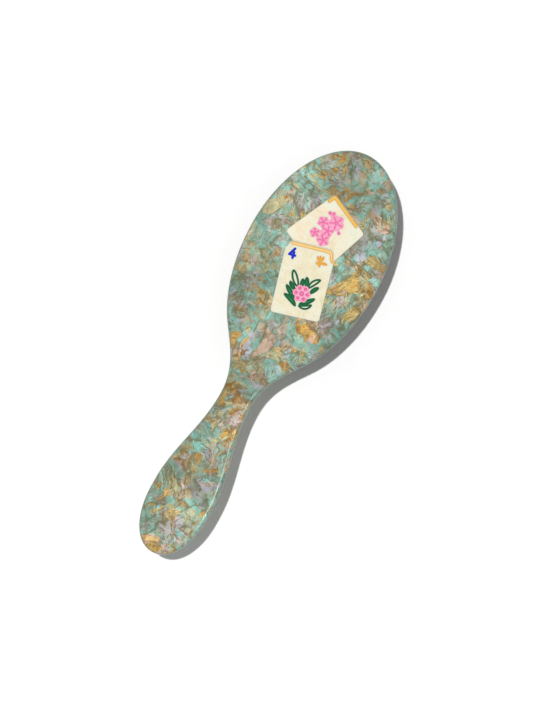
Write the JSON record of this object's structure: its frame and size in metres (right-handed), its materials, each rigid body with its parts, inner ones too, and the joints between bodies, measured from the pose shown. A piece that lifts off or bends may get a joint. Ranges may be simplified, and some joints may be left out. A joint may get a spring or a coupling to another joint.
{
  "type": "oval cushion hairbrush",
  "caption": "Oval cushion hairbrush in marbled acetate with tiles inlaid in its back, and ball-tipped pins and bristle tufts in a springy rubber pad.",
  "frame": {"origin": "under the middle of the brush's length and width, level with the pin tips that it rests on", "axes": "+Z out of the flat back, so the pins point to -Z; +Y along the brush towards the tip of the head"},
  "size_m": [0.0692, 0.22, 0.032],
  "materials": {
    "acetate": "polished, teal, sage, lavender, blush and amber flakes with olive veins",
    "tile_resin": "polished cream with faint marbling",
    "gold_paint": "glossy paint in engraving",
    "blue_paint": "glossy paint in engraving",
    "orange_paint": "glossy paint in engraving",
    "dark_green_paint": "glossy paint in engraving",
    "light_green_paint": "glossy paint in engraving",
    "pink_paint": "glossy paint in engraving",
    "rose_paint": "glossy paint in engraving",
    "rubber": "satin moulded rubber",
    "nylon": "smooth moulded nylon",
    "bristle": "natural bristle with a soft sheen"
  },
  "bodies": {
    "brush": {"brush_body": "acetate", "cushion_pad": "rubber", "lower_tile": "tile_resin", "upper_tile": "tile_resin", "lower_gold_line": "gold_paint", "upper_gold_line": "gold_paint", "blue_numeral": "blue_paint", "orange_sprig": "orange_paint", "leaf_outlines": "dark_green_paint", "leaf_fills": "light_green_paint", "flower_petals": "pink_paint", "flower_centres": "rose_paint", "blossom_spray": "pink_paint", "blossom_lines": "rose_paint"},
    "middle_row": {"pin_ring_5": "nylon", "tuft_ring_5": "bristle"},
    "ring_4": {"pin_ring_4": "nylon", "tuft_ring_4": "bristle"},
    "ring_3": {"pin_ring_3": "nylon", "tuft_ring_3": "bristle"},
    "ring_2": {"pin_ring_2": "nylon", "tuft_ring_2": "bristle"},
    "ring_1": {"pin_ring_1": "nylon", "tuft_ring_1": "bristle"}
  },
  "joints": [
    {"name": "cushion_press", "type": "slide", "parent": "brush", "child": "middle_row", "axis": [0, 0, 1], "range_m": [0, 0.003], "stiffness_N_per_m": 280, "springref_m": -0.0005, "deforming": ["cushion_pad"]},
    {"name": "ring_4_press", "type": "slide", "parent": "brush", "child": "ring_4", "axis": [0, 0, 1], "range_m": [0, 0.00295], "stiffness_N_per_m": 680, "springref_m": -0.0005},
    {"name": "ring_3_press", "type": "slide", "parent": "brush", "child": "ring_3", "axis": [0, 0, 1], "range_m": [0, 0.00271], "stiffness_N_per_m": 990, "springref_m": -0.0005},
    {"name": "ring_2_press", "type": "slide", "parent": "brush", "child": "ring_2", "axis": [0, 0, 1], "range_m": [0, 0.00218], "stiffness_N_per_m": 1680, "springref_m": -0.0005},
    {"name": "ring_1_press", "type": "slide", "parent": "brush", "child": "ring_1", "axis": [0, 0, 1], "range_m": [0, 0.00131], "stiffness_N_per_m": 2560, "springref_m": -0.0005}
  ],
  "couplings": [
    {"joint": "ring_4_press", "follows": "cushion_press", "ratio": 0.982},
    {"joint": "ring_3_press", "follows": "cushion_press", "ratio": 0.9},
    {"joint": "ring_2_press", "follows": "cushion_press", "ratio": 0.724},
    {"joint": "ring_1_press", "follows": "cushion_press", "ratio": 0.434}
  ]
}
